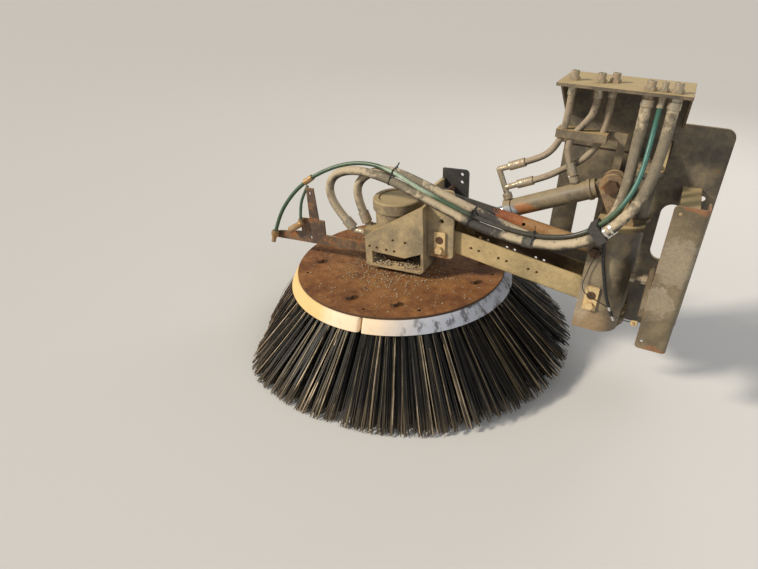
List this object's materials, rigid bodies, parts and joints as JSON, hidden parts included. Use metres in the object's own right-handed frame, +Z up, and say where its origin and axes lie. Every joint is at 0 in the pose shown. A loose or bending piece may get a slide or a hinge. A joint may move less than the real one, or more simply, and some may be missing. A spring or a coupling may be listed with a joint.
{
  "type": "gutter broom and swing arm of a street sweeper truck",
  "caption": "Gutter broom of a street sweeper truck: ring brush with steel bristles, hydraulic motor, parallel lift arms, lift cylinder, swing post, hoses and guard, on its mounting plate.",
  "frame": {"origin": "middle of the four frame bolts, on the rear face of the mounting plate", "axes": "+Z up, +Y towards the middle of the truck (out of the plate's rear face), +X along the truck towards its rear"},
  "size_m": [1.4425, 1.1539, 0.9197],
  "materials": {
    "taupe_paint": "dusty semi-gloss",
    "arm_paint": "dusty semi-gloss",
    "grey_paint": "dusty semi-gloss",
    "link_paint": "dusty semi-gloss",
    "rusty_plate": "rusty, matte",
    "pin_steel": "worn",
    "chrome_rod": "polished",
    "zinc_fittings": "zinc plated",
    "motor_iron": "painted, dusty",
    "hose_rubber": "worn and dusty",
    "water_hose": "worn",
    "brush_block": "scuffed",
    "nozzle_brass": "dull"
  },
  "bodies": {
    "frame_side": {"mounting_plate": "grey_paint", "bearing_ears": "grey_paint", "king_pin": "pin_steel", "guard_channel": "taupe_paint", "guard_struts": "grey_paint", "stop_bolt": "zinc_fittings", "hose_bulkhead": "grey_paint", "bulkhead_fittings": "zinc_fittings"},
    "post": {"swing_post": "grey_paint", "swing_tube": "grey_paint", "cylinder_ears": "grey_paint", "post_pins": "pin_steel", "post_keeper": "taupe_paint", "hose_clamp": "zinc_fittings", "hose_guide": "grey_paint", "motor_hoses_frame": "hose_rubber", "water_line_frame": "water_hose", "lift_hoses_frame": "hose_rubber"},
    "arm": {"arm_channel": "arm_paint", "rod_lug": "arm_paint", "rod_pin": "pin_steel", "motor_hoses_arm": "hose_rubber", "water_line_arm": "water_hose"},
    "link": {"upper_link": "link_paint"},
    "cylinder": {"cylinder_barrel": "taupe_paint", "cylinder_fittings": "zinc_fittings", "lift_hoses_cylinder": "hose_rubber"},
    "rod": {"cylinder_rod": "chrome_rod"},
    "head": {"head_carrier": "taupe_paint", "head_pins": "pin_steel", "head_keeper": "taupe_paint", "motor_bracket": "taupe_paint", "motor_can": "motor_iron", "motor_fittings": "zinc_fittings", "motor_hoses_head": "hose_rubber", "water_line_head": "water_hose", "spray_bracket": "grey_paint", "spray_nozzles": "nozzle_brass", "spray_branch": "water_hose", "water_tee": "nozzle_brass"},
    "brush": {"brush_hub": "motor_iron", "brush_plate": "rusty_plate", "brush_segment_1": "brush_block", "brush_segment_2": "brush_block", "brush_segment_3": "brush_block", "brush_segment_4": "brush_block"}
  },
  "joints": [
    {"name": "swing", "type": "hinge", "parent": "frame_side", "child": "post", "pos_m": [0.022, -0.1, 0], "axis": [0, 0, 1], "range_deg": [-22, 0], "deforming": ["motor_hoses_frame", "water_line_frame", "lift_hoses_frame"]},
    {"name": "arm_lift", "type": "hinge", "parent": "post", "child": "arm", "pos_m": [-0.029, -0.2, -0.131], "axis": [0, 1, 0], "range_deg": [-10, 13], "deforming": ["motor_hoses_arm", "water_line_arm"]},
    {"name": "link_lift", "type": "hinge", "parent": "post", "child": "link", "pos_m": [-0.045, -0.23, 0], "axis": [0, 1, 0], "range_deg": [-10, 13]},
    {"name": "head_level", "type": "hinge", "parent": "arm", "child": "head", "pos_m": [-0.5, -0.2, -0.068], "axis": [0, 1, 0], "range_deg": [-13, 10], "deforming": ["motor_hoses_head", "water_line_head"]},
    {"name": "cylinder_tilt", "type": "hinge", "parent": "post", "child": "cylinder", "pos_m": [-0.047, -0.172, 0.171], "axis": [0, 1, 0], "range_deg": [-7.6, 9.8], "deforming": ["lift_hoses_cylinder"]},
    {"name": "rod_stroke", "type": "slide", "parent": "cylinder", "child": "rod", "axis": [-0.9052, 0, -0.425], "range_m": [-0.065, 0.05]},
    {"name": "brush_spin", "type": "hinge", "parent": "head", "child": "brush", "pos_m": [-0.66, -0.2, -0.215], "axis": [-0.0697, -0.0436, 0.9966], "continuous": true}
  ],
  "couplings": [
    {"joint": "link_lift", "follows": "arm_lift", "ratio": 1},
    {"joint": "head_level", "follows": "arm_lift", "ratio": -1},
    {"joint": "cylinder_tilt", "follows": "arm_lift", "ratio": 0.75},
    {"joint": "rod_stroke", "follows": "arm_lift", "m_per_rad": -0.28312}
  ]
}
